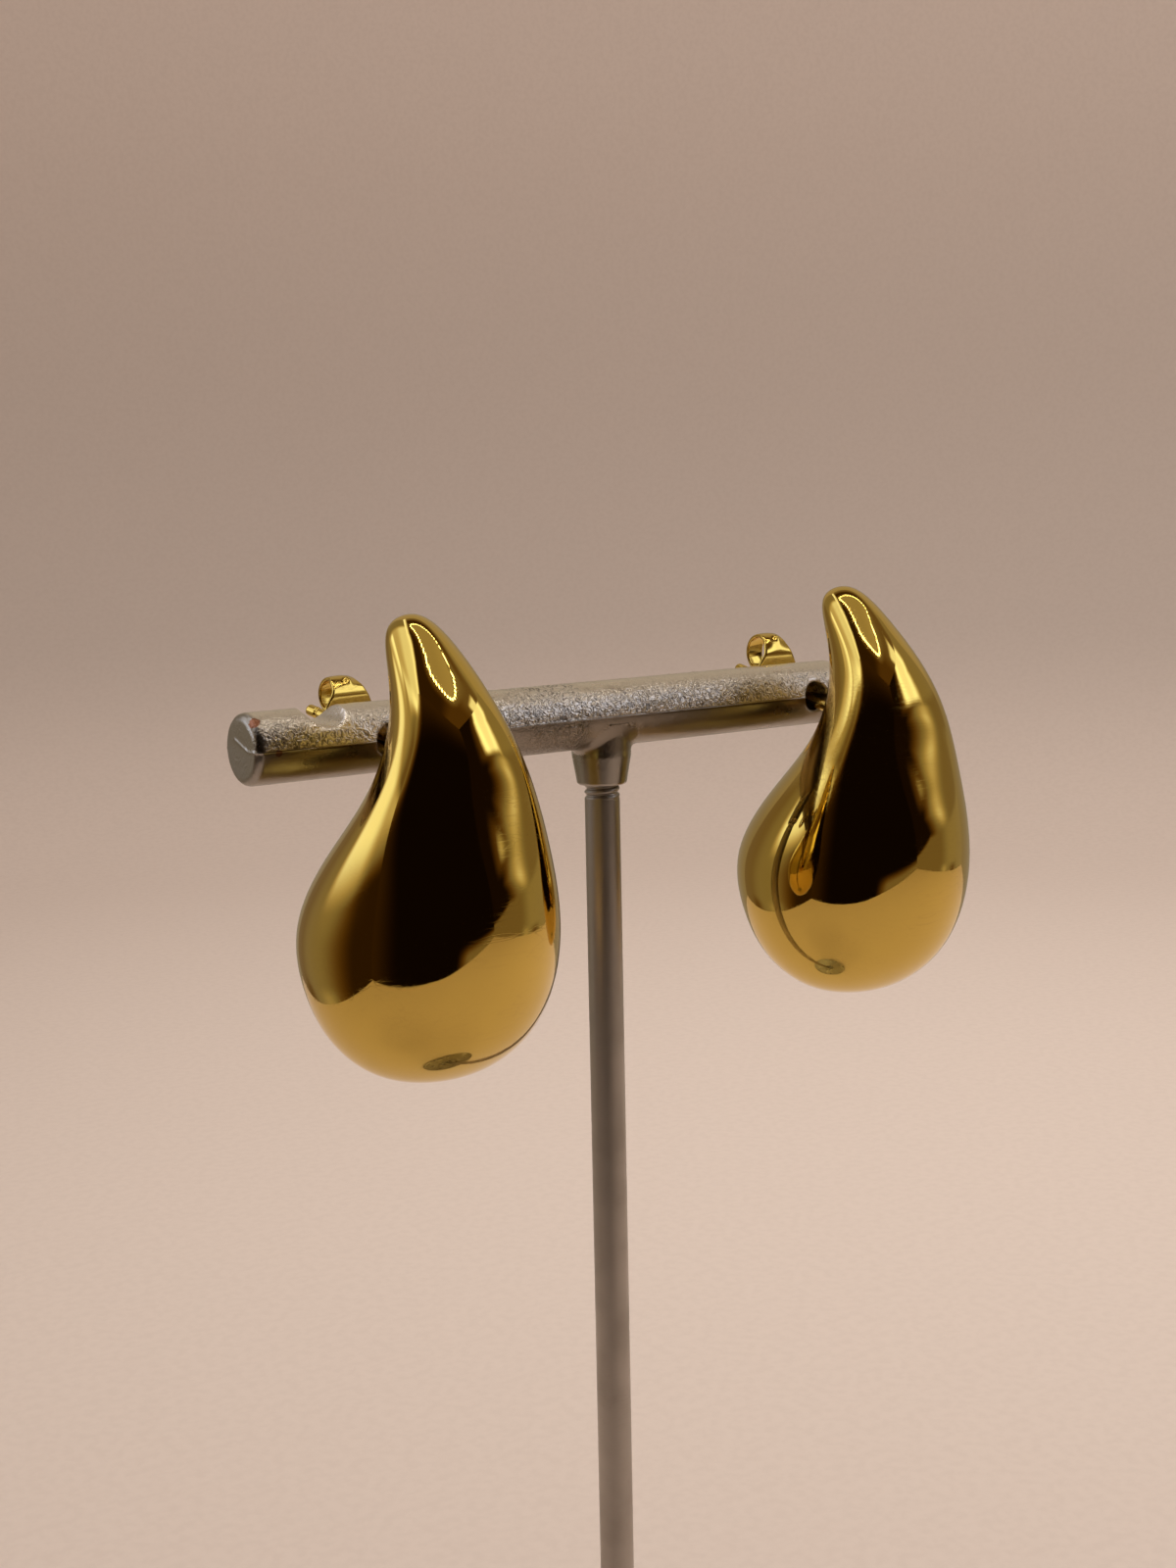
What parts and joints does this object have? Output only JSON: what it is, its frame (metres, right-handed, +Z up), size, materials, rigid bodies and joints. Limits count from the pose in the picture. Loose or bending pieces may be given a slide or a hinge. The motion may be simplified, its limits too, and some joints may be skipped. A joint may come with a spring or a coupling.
{
  "type": "pair of chunky drop earrings on a t-bar display stand",
  "caption": "Hollow polished gold teardrop earrings with posts and butterfly clutches, hanging on a small metal T-bar stand with a round base.",
  "frame": {"origin": "middle of the round base's underside, on the table", "axes": "+X along the bar from the left drop to the right drop, -Y to the front where the drops hang, +Z up along the pole"},
  "size_m": [0.0556, 0.03, 0.1003],
  "materials": {
    "satin_steel": "satin, fine turning marks",
    "cast_zinc": "grey zinc casting, rough upper half and satin lower half",
    "polished_gold": "mirror polish with fine scratches",
    "clutch_gold": "bright stamped strip"
  },
  "bodies": {
    "stand": {"base": "satin_steel", "pole": "satin_steel", "crossbar": "cast_zinc", "drop_left": "polished_gold", "drop_right": "polished_gold"},
    "clutch_left": {"clutch_left": "clutch_gold"},
    "clutch_right": {"clutch_right": "clutch_gold"}
  },
  "joints": [
    {"name": "clutch_left_slide", "type": "slide", "parent": "stand", "child": "clutch_left", "axis": [-0.1623, 0.9698, 0.1822], "range_m": [0, 0.003]},
    {"name": "clutch_right_slide", "type": "slide", "parent": "stand", "child": "clutch_right", "axis": [0, 0.9781, 0.2079], "range_m": [0, 0.003]}
  ]
}
